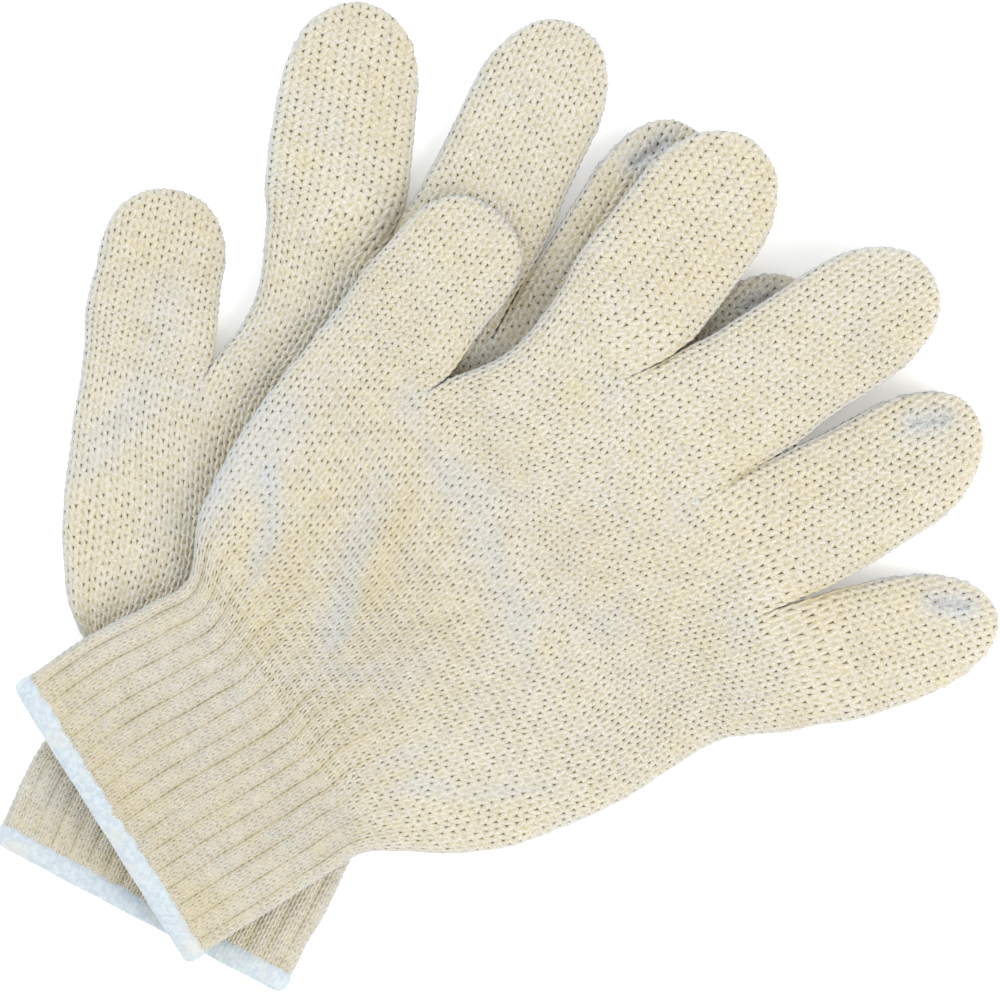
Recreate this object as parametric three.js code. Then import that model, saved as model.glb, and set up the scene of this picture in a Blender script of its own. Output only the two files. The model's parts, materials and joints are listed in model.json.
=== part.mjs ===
// A pair of knitted work gloves, the upper one lying across the lower one.
// Each glove is drawn flat in its own frame: +Y from the cuff mouth to the fingertips, +X away from the
// thumb, z = 0 on the table. The upper glove is then turned, moved and draped over the lower one.
import * as THREE from "three";
import { mergeVertices } from "three/addons/utils/BufferGeometryUtils.js";

// Fabric, in millimetres.
const THICKNESS = 9.6; // a whole glove, lying flat
const WALL = 1.6; // one layer of knit
const SEAM_GAP = 0.3; // clearance between pieces that touch
const HEM_WALL = 2.2;
const HEM_LENGTH = 3.2;

// Lengths along the glove.
const WRIST_Y = 51;
const THUMB_ROOT_Y = 119;
const KNUCKLE_Y = 168;

// Half outlines of the cuff and palm: [y, left x, right x], joined by smooth curves.
const CUFF_OUTLINE = [
  [0, -39.6, 40.6],
  [19, -41.2, 40.8],
  [37, -39.6, 40.4],
  [WRIST_Y, -41.8, 41.2],
];
const PALM_OUTLINE = [
  [WRIST_Y, -41.8, 41.2],
  [57, -48.8, 45.0],
  [66.5, -57.4, 52.4],
  [79, -64.6, 58.6],
  [97, -70.9, 63.0],
  [THUMB_ROOT_Y, -77.4, 64.7],
];
const KNUCKLE_OUTLINE = [
  [THUMB_ROOT_Y, -47.0, 64.7],
  [135, -46.3, 64.1],
  [149, -44.8, 67.8],
  [KNUCKLE_Y, -50.0, 75.4],
];

// Finger tubes: where each one starts on its root line, how far it leans (degrees, positive towards the
// thumb side), how long and how wide it is, and where along its length it bends.
const FINGERS = [
  { name: "thumb", rootY: THUMB_ROOT_Y, rootX: -62.7, rootWidth: 29.2, lean: 17.5, length: 46, width: 31.9 },
  { name: "index", rootY: KNUCKLE_Y, rootX: -35.8, rootWidth: 28.4, lean: 20.5, length: 62, width: 34.0 },
  { name: "middle", rootY: KNUCKLE_Y, rootX: -5.0, rootWidth: 28.6, lean: 0.8, length: 79, width: 33.2 },
  { name: "ring", rootY: KNUCKLE_Y, rootX: 28.4, rootWidth: 29.8, lean: -2, length: 70, width: 33.6 },
  { name: "little", rootY: KNUCKLE_Y, rootX: 60.6, rootWidth: 29.0, lean: -17, length: 50, width: 31.8 },
];
const BEND_AT = 0.45; // the middle bend, as a share of the tube's length
const TURN_LENGTH = 16; // over which a tube's courses turn square to its own axis
const TIP_ROUND = 17; // length of the rounded end
const TIP_POWER = 2.3; // 2 is a round end, more is squarer

// Yarn pieces.
const ELASTIC_ROWS = [9, 19, 29];
const ELASTIC_THICK = 0.6;
const ELASTIC_WIDE = 1.2;
const JOIN_RADII = [1.0, 1.6, 2.4];
const JOIN_AHEAD = 2.4; // how far past the root line a join sits
const CLOSURE_RADII = [2.4, 1.4, 1.1];
const CLOSURE_BACK = 3; // how far behind the inside of the tip a closure sits

// How the pair lies.
const UPPER_TURN = THREE.MathUtils.degToRad(-30.1);
const UPPER_AT = new THREE.Vector2(-17.6, 16.7);
const REST_GAP = 0.5; // between the two gloves
const TABLE_GAP = 0.4; // under the upper glove's fingertips
const DRAPE_LENGTH = 55; // over which the upper glove comes down beside the lower one
const DRAPE_MARGIN = 5;

// Hinges.
const HINGE_CLEARANCE = 0.2; // above the fabric that folds
const HINGE_SAMPLES = 6;

// Facets and rows.
const FINGER_FACETS = { flat: 3, arc: 3 };
const PALM_FACETS = { flat: 6, arc: 3 };
const YARN_FACETS = [8, 6];
const CUFF_ROWS = 8;
const FIVE_FINGER_ROWS = 7;
const FOUR_FINGER_ROWS = 4;
const BASE_ROWS = 3;
const TIP_ROWS = 4;
const OUTLINE_ROWS = 16;
const HALVINGS = 30; // of a curve, to find a point of it

const knit = new THREE.MeshStandardMaterial({ color: 0xe9e1cd, roughness: 0.95, metalness: 0 });
const rib = new THREE.MeshStandardMaterial({ color: 0xe6dcbf, roughness: 0.95, metalness: 0 });
const overlock = new THREE.MeshStandardMaterial({ color: 0xe3eaf0, roughness: 0.9, metalness: 0 });
const elastic = new THREE.MeshStandardMaterial({ color: 0xf2efe6, roughness: 0.6, metalness: 0 });
const yarn = new THREE.MeshStandardMaterial({ color: 0xdbe0e4, roughness: 0.95, metalness: 0 });

// A row is one flattened oval across a tube: its middle, its direction, and its half sizes.
function rowBetween(y, left, right, inset) {
  return {
    x: (left + right) / 2,
    y,
    turn: 0,
    halfWidth: (right - left) / 2 - inset,
    halfHeight: THICKNESS / 2 - inset,
  };
}

// Rows of a cuff or palm section from one length to another, inset from its outside.
function sectionRows(outline, from, to, count, inset) {
  const curve = (side) =>
    new THREE.CatmullRomCurve3(outline.map((p) => new THREE.Vector3(p[side], p[0], 0)), false, "centripetal");
  const left = curve(1);
  const right = curve(2);
  const rows = [];
  for (let i = 0; i <= count; i++) {
    const y = from + ((to - from) * i) / count;
    rows.push(rowBetween(y, xAtY(left, y), xAtY(right, y), inset));
  }
  return rows;
}

// The x of a rising curve at a given y, by halving.
function xAtY(curve, y) {
  let low = 0;
  let high = 1;
  for (let i = 0; i < HALVINGS; i++) {
    const middle = (low + high) / 2;
    if (curve.getPoint(middle).y < y) low = middle;
    else high = middle;
  }
  return curve.getPoint(low).x;
}

// One row of a finger tube, at a distance along its axis.
function fingerRow(finger, along, inset) {
  const lean = THREE.MathUtils.degToRad(finger.lean);
  const grown = THREE.MathUtils.smoothstep(along, 0, TURN_LENGTH);
  const reach = finger.length - inset;
  const round = Math.max(0, (along - (reach - TIP_ROUND)) / TIP_ROUND);
  const taper = Math.pow(Math.max(0, 1 - Math.pow(round, TIP_POWER)), 1 / TIP_POWER);
  const width = THREE.MathUtils.lerp(finger.rootWidth, finger.width, grown);
  return {
    x: finger.rootX - Math.sin(lean) * along,
    y: finger.rootY + Math.cos(lean) * along,
    turn: lean * grown,
    halfWidth: (width / 2 - inset) * taper,
    halfHeight: (THICKNESS / 2 - inset) * Math.sqrt(taper),
  };
}

// A point of a row's oval, which has flat top and bottom sides and half-round ends.
function ovalPoint(row, step, facets) {
  const radius = Math.min(row.halfHeight, row.halfWidth);
  const flat = row.halfWidth - radius;
  const half = facets.flat + facets.arc;
  const side = step % (2 * half) < half ? 1 : -1;
  const k = step % half;
  const arcAngle = (Math.min(k, facets.arc) / facets.arc - 0.5) * Math.PI;
  const along = Math.max(0, k - facets.arc) / facets.flat;
  const across = side * (radius * Math.cos(arcAngle) + flat * (1 - 2 * along));
  const up = side * radius * Math.sin(arcAngle);
  return new THREE.Vector3(
    row.x + across * Math.cos(row.turn),
    row.y + across * Math.sin(row.turn),
    THICKNESS / 2 + up,
  );
}

// A lathe whose profile runs through the given rows, with each turn of it laid on that row's oval. A
// profile that closes on itself is an open tube; one that starts and ends on the axis is a closed tip.
function latheThrough(rows, closesOnItself, facets) {
  const profile = rows.map((row, i) => new THREE.Vector2(row.halfWidth === 0 ? 0 : 1, i));
  if (closesOnItself) profile.push(profile[0].clone());
  const segments = 2 * (facets.flat + facets.arc);
  const lathe = new THREE.LatheGeometry(profile, segments);
  const place = lathe.getAttribute("position");
  for (let turn = 0; turn <= segments; turn++)
    for (let i = 0; i < profile.length; i++) {
      const point = ovalPoint(rows[i % rows.length], turn, facets);
      place.setXYZ(turn * profile.length + i, point.x, point.y, point.z);
    }
  return plain(lathe);
}

// Positions only, with shared vertices merged.
function plain(geometry) {
  geometry.deleteAttribute("normal");
  geometry.deleteAttribute("uv");
  return mergeVertices(geometry, 1e-3);
}

// An open tube with a wall between an outer and an inner list of rows.
function sleeve(outer, inner, facets) {
  return latheThrough([...outer.toReversed(), ...inner], true, facets);
}

// A tube wall that ends in a closed tip.
function closedTube(finger, from) {
  const rowsTo = (inset) => {
    const reach = finger.length - inset;
        const rows = [];
    rows.push(fingerRow(finger, from, inset));
    for (let i = 0; i <= TIP_ROWS; i++) {
      const share = Math.sin((i / TIP_ROWS) * Math.PI * 0.5);
      rows.push(fingerRow(finger, reach - TIP_ROUND * (1 - share), inset));
    }
    return rows;
  };
  return latheThrough([...rowsTo(0).toReversed(), ...rowsTo(WALL)], false, FINGER_FACETS);
}

function palmSleeve(outline, from, to, count, wall) {
  return sleeve(
    sectionRows(outline, from, to, count, 0),
    sectionRows(outline, from, to, count, wall),
    PALM_FACETS,
  );
}

function fingerSleeve(finger, from, to, count) {
  const rows = (inset) =>
    Array.from({ length: count + 1 }, (_, i) => fingerRow(finger, from + ((to - from) * i) / count, inset));
  return sleeve(rows(0), rows(WALL), FINGER_FACETS);
}

function elasticRing(y) {
  const rows = (inset) => sectionRows(CUFF_OUTLINE, y, y + ELASTIC_WIDE, 1, inset);
  const inset = WALL + SEAM_GAP;
  return sleeve(rows(inset), rows(inset + ELASTIC_THICK), PALM_FACETS);
}

function yarnLump(radii, x, y, z, turn) {
  const lump = new THREE.SphereGeometry(1, ...YARN_FACETS);
  lump.scale(...radii);
  lump.rotateZ(turn);
  lump.translate(x, y, z);
  return plain(lump);
}

// The middle of the gap between two neighbouring tubes, just past their root line.
function joinBetween(first, second) {
  const gapStart = first.rootX + first.rootWidth / 2;
  const gapEnd = second.rootX - second.rootWidth / 2;
  return yarnLump(JOIN_RADII, (gapStart + gapEnd) / 2, first.rootY + JOIN_AHEAD, THICKNESS / 2, 0);
}

function tipClosure(finger) {
  const row = fingerRow(finger, finger.length - WALL - SEAM_GAP - CLOSURE_BACK, 0);
  return yarnLump(CLOSURE_RADII, row.x, row.y, THICKNESS / 2, row.turn);
}

// Every piece of one glove: its name, its flat geometry and its material.
function glovePieces(bendingFingers) {
  const pieces = [];
  const add = (name, geometry, material) => pieces.push({ name, geometry, material });
  add("overlock_hem", palmSleeve(CUFF_OUTLINE, 0, HEM_LENGTH, 1, HEM_WALL), overlock);
  add("cuff", palmSleeve(CUFF_OUTLINE, HEM_LENGTH + SEAM_GAP, WRIST_Y - SEAM_GAP, CUFF_ROWS, WALL), rib);
  ELASTIC_ROWS.forEach((y, i) => add(`elastic_thread_${i + 1}`, elasticRing(y), elastic));
  const thumbRow = THUMB_ROOT_Y - SEAM_GAP;
  const knuckleRow = KNUCKLE_Y - SEAM_GAP;
  add("five_finger_palm", palmSleeve(PALM_OUTLINE, WRIST_Y, thumbRow, FIVE_FINGER_ROWS, WALL), knit);
  const knuckles = palmSleeve(KNUCKLE_OUTLINE, THUMB_ROOT_Y, knuckleRow, FOUR_FINGER_ROWS, WALL);
  add("four_finger_palm", knuckles, knit);
  for (const finger of FINGERS) {
    const bend = finger.length * BEND_AT;
    if (bendingFingers.includes(finger.name)) {
      add(`${finger.name}_base`, fingerSleeve(finger, 0, bend - SEAM_GAP, BASE_ROWS), knit);
      add(`${finger.name}_tip`, closedTube(finger, bend), knit);
    } else {
      add(`${finger.name}_finger`, closedTube(finger, 0), knit);
    }
    add(`${finger.name}_tip_closure`, tipClosure(finger), yarn);
  }
  const [thumb, ...fingers] = FINGERS;
  const palmEdge = { rootX: KNUCKLE_OUTLINE[0][1], rootWidth: 0 };
  add("thumb_join", joinBetween(thumb, palmEdge), yarn);
  for (let i = 1; i < fingers.length; i++)
    add(`${fingers[i - 1].name}_${fingers[i].name}_join`, joinBetween(fingers[i - 1], fingers[i]), yarn);
  return pieces;
}

// Outlines of the lower glove's pieces, seen from above, for the drape of the upper one.
function outlineOf(rows) {
  const edge = (side) =>
    rows.map((r) => [
      r.x + side * r.halfWidth * Math.cos(r.turn),
      r.y + side * r.halfWidth * Math.sin(r.turn),
    ]);
  return [...edge(-1), ...edge(1).reverse()];
}

function fingerOutlineRows(finger) {
  const along = (i) => (finger.length * i) / OUTLINE_ROWS;
  return Array.from({ length: OUTLINE_ROWS + 1 }, (_, i) => fingerRow(finger, along(i), 0));
}

const lowerOutlines = [
  outlineOf(sectionRows(CUFF_OUTLINE, 0, WRIST_Y, OUTLINE_ROWS, 0)),
  outlineOf(sectionRows(PALM_OUTLINE, WRIST_Y, THUMB_ROOT_Y, OUTLINE_ROWS, 0)),
  outlineOf(sectionRows(KNUCKLE_OUTLINE, THUMB_ROOT_Y, KNUCKLE_Y, OUTLINE_ROWS, 0)),
  ...FINGERS.map((finger) => outlineOf(fingerOutlineRows(finger))),
];

// How far a point is from an outline, 0 inside it.
function distanceTo(outline, x, y) {
  let inside = false;
  let nearest = Infinity;
  outline.forEach(([ax, ay], i) => {
    const [bx, by] = outline[(i + 1) % outline.length];
    const length2 = (bx - ax) ** 2 + (by - ay) ** 2 || 1;
    const t = THREE.MathUtils.clamp(((x - ax) * (bx - ax) + (y - ay) * (by - ay)) / length2, 0, 1);
    nearest = Math.min(nearest, Math.hypot(x - ax - t * (bx - ax), y - ay - t * (by - ay)));
    if (ay > y !== by > y && x < ax + ((y - ay) * (bx - ax)) / (by - ay)) inside = !inside;
  });
  return inside ? 0 : nearest;
}

// How high the upper glove's underside lies over a point of its own frame.
function upperLift(x, y) {
  const at = new THREE.Vector2(x, y).rotateAround(new THREE.Vector2(), UPPER_TURN).add(UPPER_AT);
  const away = Math.min(...lowerOutlines.map((outline) => distanceTo(outline, at.x, at.y)));
  const down = THREE.MathUtils.smoothstep(away, DRAPE_MARGIN, DRAPE_MARGIN + DRAPE_LENGTH);
  return THREE.MathUtils.lerp(THICKNESS + REST_GAP, TABLE_GAP, down);
}

function drape(geometry, liftAt) {
  const place = geometry.getAttribute("position");
  for (let i = 0; i < place.count; i++)
    place.setZ(i, place.getZ(i) + liftAt(place.getX(i), place.getY(i)));
  return geometry;
}

function makeGlove(prefix, bendingFingers, liftAt) {
  const glove = new THREE.Group();
  for (const piece of glovePieces(bendingFingers)) {
    const mesh = new THREE.Mesh(drape(piece.geometry, liftAt), piece.material);
    mesh.name = `${prefix}_${piece.name}`;
    glove.add(mesh);
  }
  return glove;
}

// The line that a fold turns about: it runs across the glove, on top of the fabric, from a row's left side
// to its right side. The axis points left to right for a fold of what lies beyond the row.
function foldLine(row, liftAt) {
  const across = (share) => {
    const x = row.x + share * row.halfWidth * Math.cos(row.turn);
    const y = row.y + share * row.halfWidth * Math.sin(row.turn);
    return new THREE.Vector3(x, y, THICKNESS + liftAt(x, y));
  };
  const left = across(-1);
  const right = across(1);
  const point = left.clone().lerp(right, 0.5);
  let raise = 0;
  for (let i = 1; i < HINGE_SAMPLES; i++) {
    const share = (2 * i) / HINGE_SAMPLES - 1;
    raise = Math.max(raise, across(share).z - left.clone().lerp(right, i / HINGE_SAMPLES).z);
  }
  point.z += raise + HINGE_CLEARANCE;
  return { point, axis: right.sub(left).normalize() };
}

// Every line of one glove that can be a hinge, by name.
function foldLines(liftAt) {
  const [, left, right] = CUFF_OUTLINE.at(-1);
  const wrist = rowBetween(WRIST_Y - SEAM_GAP / 2, left, right, 0);
  const lines = { wrist: foldLine(wrist, liftAt) };
  for (const finger of FINGERS) {
    lines[`${finger.name}_root`] = foldLine(fingerRow(finger, -SEAM_GAP / 2, 0), liftAt);
    lines[`${finger.name}_middle`] = foldLine(
      fingerRow(finger, finger.length * BEND_AT - SEAM_GAP / 2, 0),
      liftAt,
    );
  }
  return lines;
}

const everyFinger = FINGERS.map((finger) => finger.name);
const lower = makeGlove("lower", ["thumb", "index", "middle"], () => 0);
const upper = makeGlove("upper", everyFinger, upperLift);
upper.rotation.z = UPPER_TURN;
upper.position.set(UPPER_AT.x, UPPER_AT.y, 0);

// The pair's frame has its origin under the middle of the pair, on the table.
const pair = new THREE.Group();
pair.add(lower, upper);
const middle = new THREE.Box3().setFromObject(pair, true).getCenter(new THREE.Vector3());
lower.position.x -= middle.x;
lower.position.y -= middle.y;
upper.position.x -= middle.x;
upper.position.y -= middle.y;

// The hinge lines go with the gloves, in each glove's own frame.
lower.userData.foldLines = foldLines(() => 0);
upper.userData.foldLines = foldLines(upperLift);

export default pair;
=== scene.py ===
import json
import math

import bpy
import numpy as np
from mathutils import Matrix, Vector

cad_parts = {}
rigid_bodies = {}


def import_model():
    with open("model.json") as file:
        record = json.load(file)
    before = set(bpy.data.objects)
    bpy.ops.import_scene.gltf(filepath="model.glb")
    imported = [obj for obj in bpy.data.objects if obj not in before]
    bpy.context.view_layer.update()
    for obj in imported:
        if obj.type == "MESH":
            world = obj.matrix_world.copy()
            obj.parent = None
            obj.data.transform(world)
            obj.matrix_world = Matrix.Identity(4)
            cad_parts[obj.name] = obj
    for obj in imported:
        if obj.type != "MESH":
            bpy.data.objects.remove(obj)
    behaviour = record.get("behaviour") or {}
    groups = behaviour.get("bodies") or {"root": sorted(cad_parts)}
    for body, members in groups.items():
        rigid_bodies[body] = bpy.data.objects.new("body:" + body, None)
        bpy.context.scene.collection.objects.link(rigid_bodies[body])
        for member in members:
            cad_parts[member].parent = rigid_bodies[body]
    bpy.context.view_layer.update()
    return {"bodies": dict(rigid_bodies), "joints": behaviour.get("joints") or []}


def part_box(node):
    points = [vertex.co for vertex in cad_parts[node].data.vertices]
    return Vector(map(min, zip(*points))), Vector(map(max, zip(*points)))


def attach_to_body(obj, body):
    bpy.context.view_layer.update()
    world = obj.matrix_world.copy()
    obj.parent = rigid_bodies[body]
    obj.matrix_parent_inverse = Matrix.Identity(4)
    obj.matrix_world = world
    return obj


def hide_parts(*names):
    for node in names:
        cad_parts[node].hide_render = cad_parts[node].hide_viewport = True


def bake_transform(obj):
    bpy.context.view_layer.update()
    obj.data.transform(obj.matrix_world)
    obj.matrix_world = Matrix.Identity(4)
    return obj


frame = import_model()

MM = 0.001

# Fabric, in millimetres.
THICKNESS = 8.8  # a whole glove lying flat, without the relief of its stitches
MIDDLE_Z = 4.8  # height of its middle plane over the table
WALL = 1.2
UNDERSIDE = 0.05  # the fabric flattens on what it lies on
EDGE_ROUND = 11.5  # how far in from an outline the fabric is still rounding over
EDGE_POWER = 2.4
SEAM_SHARE = 0.03  # of the thickness, left at a rounded edge
STITCH_HEIGHT = 0.54
RIB_HEIGHT = 0.8
RIB_STITCHES = 0.75  # height of the cuff's stitches over the palm's
MOUTH_YELLOW = 0.45  # how far the yarn yellows beside the hem
RIB_GROOVE_SHADE = 0.45  # and how far a painted yellow shade shows in the grooves between ribs
RIB_LINE = 0.3  # half width of a groove, in wales
RIM_PAINTED_SHADE = 0.7  # painted shade and sheen: how far the outlines turn cool blue
CROTCH_PAINTED_SHADE = 0.9  # and how far a painted yellow shade shows inside the crotches
CROTCH_COURSES = (4, 11)
PUCKER_PAINTED_SHADE = 1.0  # and a painted cool-blue shade round a closure
JOIN_WIDTH = 3.6  # and a painted cool-blue highlight where two tubes are joined, which is raised a little
JOIN_RISE = 0.25
# Strength of the painted cool-blue highlight beside each join.
JOIN_PAINTED_LIGHT = 0.35
RIB_WALES = 3
RIB_LEVEL = 0.7  # share of a rib's height that lies under the fabric's plain surface
RIB_MEAN = 0.85  # height of the ribs, and how uneven it is
RIB_UNEVEN = 0.6
RIB_UNEVEN_SIZE = 22
RIB_APART = 17.3  # how far apart two ribs read that unevenness
MOUTH_RIBS = 0.35  # height of the ribs beside the hem
MOUTH_RIB_FADE = (2, 16)
MOUTH_FADE = (4, 16)

# A stitch's two slanting legs, in shares of half a wale across and of a course along it.
LEG_START = 0.24
LEG_SLANT = 0.54
LEG_WIDTH = 0.36
LEG_LOW = 0.35  # height of its ends over its middle
LEG_LAG = 0.5  # how much later the legs rise at the stitch's sides
LOOSENESS = (0.45, 2.6)  # how uneven the stitches are, and over what size
WAVES = [(0.35, 16), (0.18, 6)]  # the fabric's own waves, as (height, size)
BACK_WAVES = 0.3  # height of the waves underneath, over those on top

# Grid steps in one stitch.
FRONT_STEPS = 6
BACK_STEPS = 4
ROW_STEPS = 5
INNER_ROWS = 10  # rows of the outside to one row of the inside
SPREAD_POINTS = 240  # for measuring along a rounded face

# Lengths and stitch counts along the glove.
CUFF_COURSES = 25
PALM_COURSES = 28
KNUCKLE_COURSES = 18
HEM_END_Y = 1.5
WRIST_Y = 51.0
THUMB_ROOT_Y = 119
KNUCKLE_Y = 168
CUFF_WIDTH = 82.0
GATHER_FADE = (70, 112)  # where the middle stitches of the palm reach their full width
RIB_FADE = (54, 100)  # where the ribs run out into the palm
PALM_WALES = 51
THUMB_WALES = 11
KNUCKLE_WALES = PALM_WALES - THUMB_WALES
THUMB_COURSE = CUFF_COURSES + PALM_COURSES  # courses before the thumb's root

# Outlines: rows of (y, left x, right x).
BODY_OUTLINE = [
    (0, -39.8, 41.2), (19, -41.2, 41.4), (37, -39.8, 41.2), (51, -41.4, 41.8), (57, -49.2, 45.4),
    (66.5, -56.6, 52.2), (79, -63.4, 58.5), (91, -68.2, 61.8), (99, -71.0, 63.4), (110, -74.6, 64.6),
    (124, -79.6, 64.4),
]
KNUCKLE_OUTLINE = [
    (118, -46.8, 64.6), (124, -46.8, 64.4), (134, -46.3, 64.2), (143, -45.2, 65.6), (151, -45.8, 70.0),
    (157, -47.6, 72.8), (163, -50.0, 75.1), (170, -53.4, 78.1),
]
# The row where the thumb and palm part, and the row where the fingers part: (share across, y).
THUMB_ROW = [(0, 117.0), (0.21, 123.0), (1, 123.0)]
FINGER_ROW = [(0, 165.5), (0.55, 165.5), (0.76, 162.0), (1, 160.5)]

# Finger tubes: place of the root, lean in degrees towards the thumb side, length, wales on one side, whether
# the left and right sides are open at the root, in a crotch, distances of the two outlines from the axis as
# (along, distance), length and squareness of the rounded end, and where the drawn-in closure of the tip shows
# on the front, as (across, back from the tip), or None where it is on the back.
FINGERS = {
    "thumb": dict(
        root=(-63.6, 119.0), lean=17.5, length=46.0, wales=11, open_sides=(False, True),
        left=[(0, 14.0), (12, 14.8), (27, 14.4), (46, 14.4)],
        right=[(0, 16.0), (6, 17.3), (24, 17.1), (46, 16.6)],
        tip=(19.0, 2.3), pucker=None,
    ),
    "index": dict(
        root=(-36.6, 168.0), lean=20.5, length=62.0, wales=9, open_sides=(False, True),
        left=[(0, 16.6), (6, 16.3), (12, 16.3), (30, 16.1), (40, 15.6), (62, 15.0)],
        right=[(0, 14.6), (5, 16.4), (10, 18.2), (14, 19.0), (24, 19.3), (40, 18.8), (62, 18.6)],
        tip=(24.0, 2.1), pucker=None,
    ),
    "middle": dict(
        root=(-5.4, 168.0), lean=0.8, length=79.0, wales=11, open_sides=(True, True),
        left=[(0, 15.8), (8, 16.6), (15, 17.1), (21, 16.3), (30, 16.0), (55, 16.0), (79, 16.0)],
        right=[(0, 16.0), (10, 17.2), (22, 18.0), (30, 18.0), (38, 17.2), (55, 16.9), (79, 16.7)],
        tip=(24.0, 2.1), pucker=None,
    ),
    "ring": dict(
        root=(27.8, 168.0), lean=-2.0, length=70.0, wales=10, open_sides=(True, True),
        left=[(0, 16.9), (12, 16.4), (23, 16.0), (30, 15.4), (42, 14.9), (55, 14.9), (70, 16.0)],
        right=[(0, 16.0), (8, 17.5), (16, 18.6), (24, 18.7), (42, 18.5), (55, 17.6), (70, 16.5)],
        tip=(25.0, 2.0), pucker=(-5.0, 11.5),
    ),
    "little": dict(
        root=(60.6, 168.0), lean=-17.0, length=50.0, wales=10, open_sides=(True, False),
        left=[(0, 16.1), (4, 16.6), (10, 16.0), (20, 15.6), (50, 15.6)],
        right=[(0, 16.1), (6, 16.6), (14, 16.3), (24, 15.6), (50, 15.2)],
        tip=(28.0, 2.0), pucker=(-5.5, 11.0),
    ),
}
BEND_AT = 0.45  # where a finger folds, as a share of its length
TURN_LENGTH = 16.0  # over which a tube's courses turn square to its axis
JOIN_FADE = 14.0  # over which a tube takes its own shape after its root row
OPEN_FADE = 12.0  # over which the square side of a crotch rounds off
COURSE_HEIGHT = {"thumb": 2.15, "index": 2.05, "middle": 2.3, "ring": 2.3, "little": 2.3}
TIP_SHIFT = math.radians(62)  # how far round the tip its closure is displaced
TIP_OVER = 1.6  # length of the stitched end over its length seen from above
CLOSURE_FROM = 0.55  # share of the end's rows after which they draw in to a slit
CLOSURE_HALF = 3.6  # half its length
CLOSURE_WIDE = 0.35
CLOSURE_SINK = 1.5
CLOSURE_SINK_FROM = 0.8
PUCKER_HALF = 3.9
PUCKER_WIDE = 0.9
PUCKER_DEPTH = 1.6
PUCKER_TURN = math.radians(25)  # how far the slit lies off the finger's own direction
PUCKER_SHADE_REACH = 3.6  # how far round a closure the painted cool-blue shade reaches
GATHER_TURNS = 3.6  # radians a millimetre, of the small pleats beside it
GATHER_HEIGHT = 0.32
GATHER_REACH = 1.8

# Spans across the folds, between the pieces on either side.
WRIST_BLEND = (50.5, 39.5)
ROOT_BLEND = 16.0
BLEND_MARGIN = 0.4  # between the span across a fold and the rows beside it
MIDDLE_BLEND = 14.0
MIDDLE_BLEND_START = 0.08  # share of that before it starts

# The upper glove's drape, as in the CAD.
CAD_THICKNESS = 9.6
REST_GAP = 0.5
TABLE_GAP = 0.4
DRAPE_LENGTH = 55.0
DRAPE_MARGIN = 5.0
DRAPE_STEP = 1.5  # grid on which the drape is worked out
DRAPE_X = (-105, 105)
DRAPE_Y = (-10, 262)
OUTLINE_ROWS = 14  # of a section of the outline under the drape
FINGER_OUTLINE_ROWS = 17

# Soft folds of the fabric, in a glove's own frame: path as (x, y) points, width, height, and how strongly
# light is painted along it, cool blue above 0 and warm yellow below 0.
UPPER_FOLDS = [
    ([(-66, 104), (-61, 90), (-57, 75), (-52, 64), (-44, 54)], 8.0, 0.0, 0.75),
    ([(-54, 84), (-52, 79), (-44, 76), (-35, 67), (-27, 56)], 3.2, -1.3, 0.75),
    ([(-56, 72), (-48, 70), (-42, 65), (-34, 57)], 3.0, 0.5, -0.2),
    ([(-50, 98), (-38, 83), (-28, 72), (-20, 60), (-14, 46)], 6.5, 0.3, -0.22),
    ([(-42, 108), (-31, 96), (-20, 84), (-9, 72), (-2, 62)], 4.2, -0.7, 0.6),
    ([(-38, 114), (-24, 101), (-17, 91), (-11, 83), (-5, 74)], 3.0, 0.6, -0.5),
    ([(-44, 116), (-26, 117), (-9, 116), (14, 112), (30, 106)], 6.0, -0.25, 0.5),
    ([(-36, 112), (-24, 122), (-12, 130), (2, 138)], 5.0, 0.0, 0.3),
    ([(-2, 62), (3, 72), (8, 83), (10, 98)], 5.0, -0.6, 0.3),
    ([(29, 60), (38, 73), (46, 84), (53, 102)], 3.6, -0.9, 0.55),
    ([(31, 56), (41, 72), (49, 85), (56, 98)], 2.8, 0.5, -0.35),
    ([(30, 140), (24, 128), (12, 122)], 6.0, 0.3, 0.25),
    ([(24, 60), (26, 72), (29, 84)], 3.0, -0.5, 0.25),
]
LOWER_FOLDS = [
    ([(-68, 82), (-62, 98), (-60, 112), (-62, 124)], 6.0, -0.6, 0.5),
    ([(-50, 76), (-54, 92), (-56, 106)], 5.0, 0.6, -0.2),
    ([(-58, 124), (-64, 134), (-66, 146)], 6.0, -0.3, 0.35),
]


def smooth(value, low, high):
    t = np.clip((np.asarray(value, float) - low) / (high - low), 0, 1)
    return t * t * (3 - 2 * t)


def mix(a, b, share):
    return a + (b - a) * share


def through(table, at):
    """A smooth curve through the (place, value) rows of a table."""
    place, value = np.array(table, float).T
    slope = np.gradient(value, place)
    at = np.clip(at, place[0], place[-1])
    i = np.clip(np.searchsorted(place, at) - 1, 0, len(place) - 2)
    span = place[i + 1] - place[i]
    t = (at - place[i]) / span
    low = value[i] * (1 + 2 * t) * (1 - t) ** 2 + slope[i] * span * t * (1 - t) ** 2
    high = value[i + 1] * t * t * (3 - 2 * t) - slope[i + 1] * span * t * t * (1 - t)
    return low + high


def outline_points(outline, left_y, right_y):
    """A left and a right point of an outline, each at its own y."""
    left = through([(y, x) for y, x, _ in outline], left_y)
    right = through([(y, x) for y, _, x in outline], right_y)
    return (left, left_y), (right, right_y)


def refined(path, count):
    """That many points of a smooth curve through the points of a path."""
    path = np.array(path, float)
    steps = np.linspace(0, len(path) - 1, count)
    return np.array([through(list(enumerate(column)), steps) for column in path.T]).T


def directions(turn):
    """Unit vectors across and along something that leans by a turn towards the thumb side."""
    return np.array([math.cos(turn), math.sin(turn)]), np.array([-math.sin(turn), math.cos(turn)])


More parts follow.
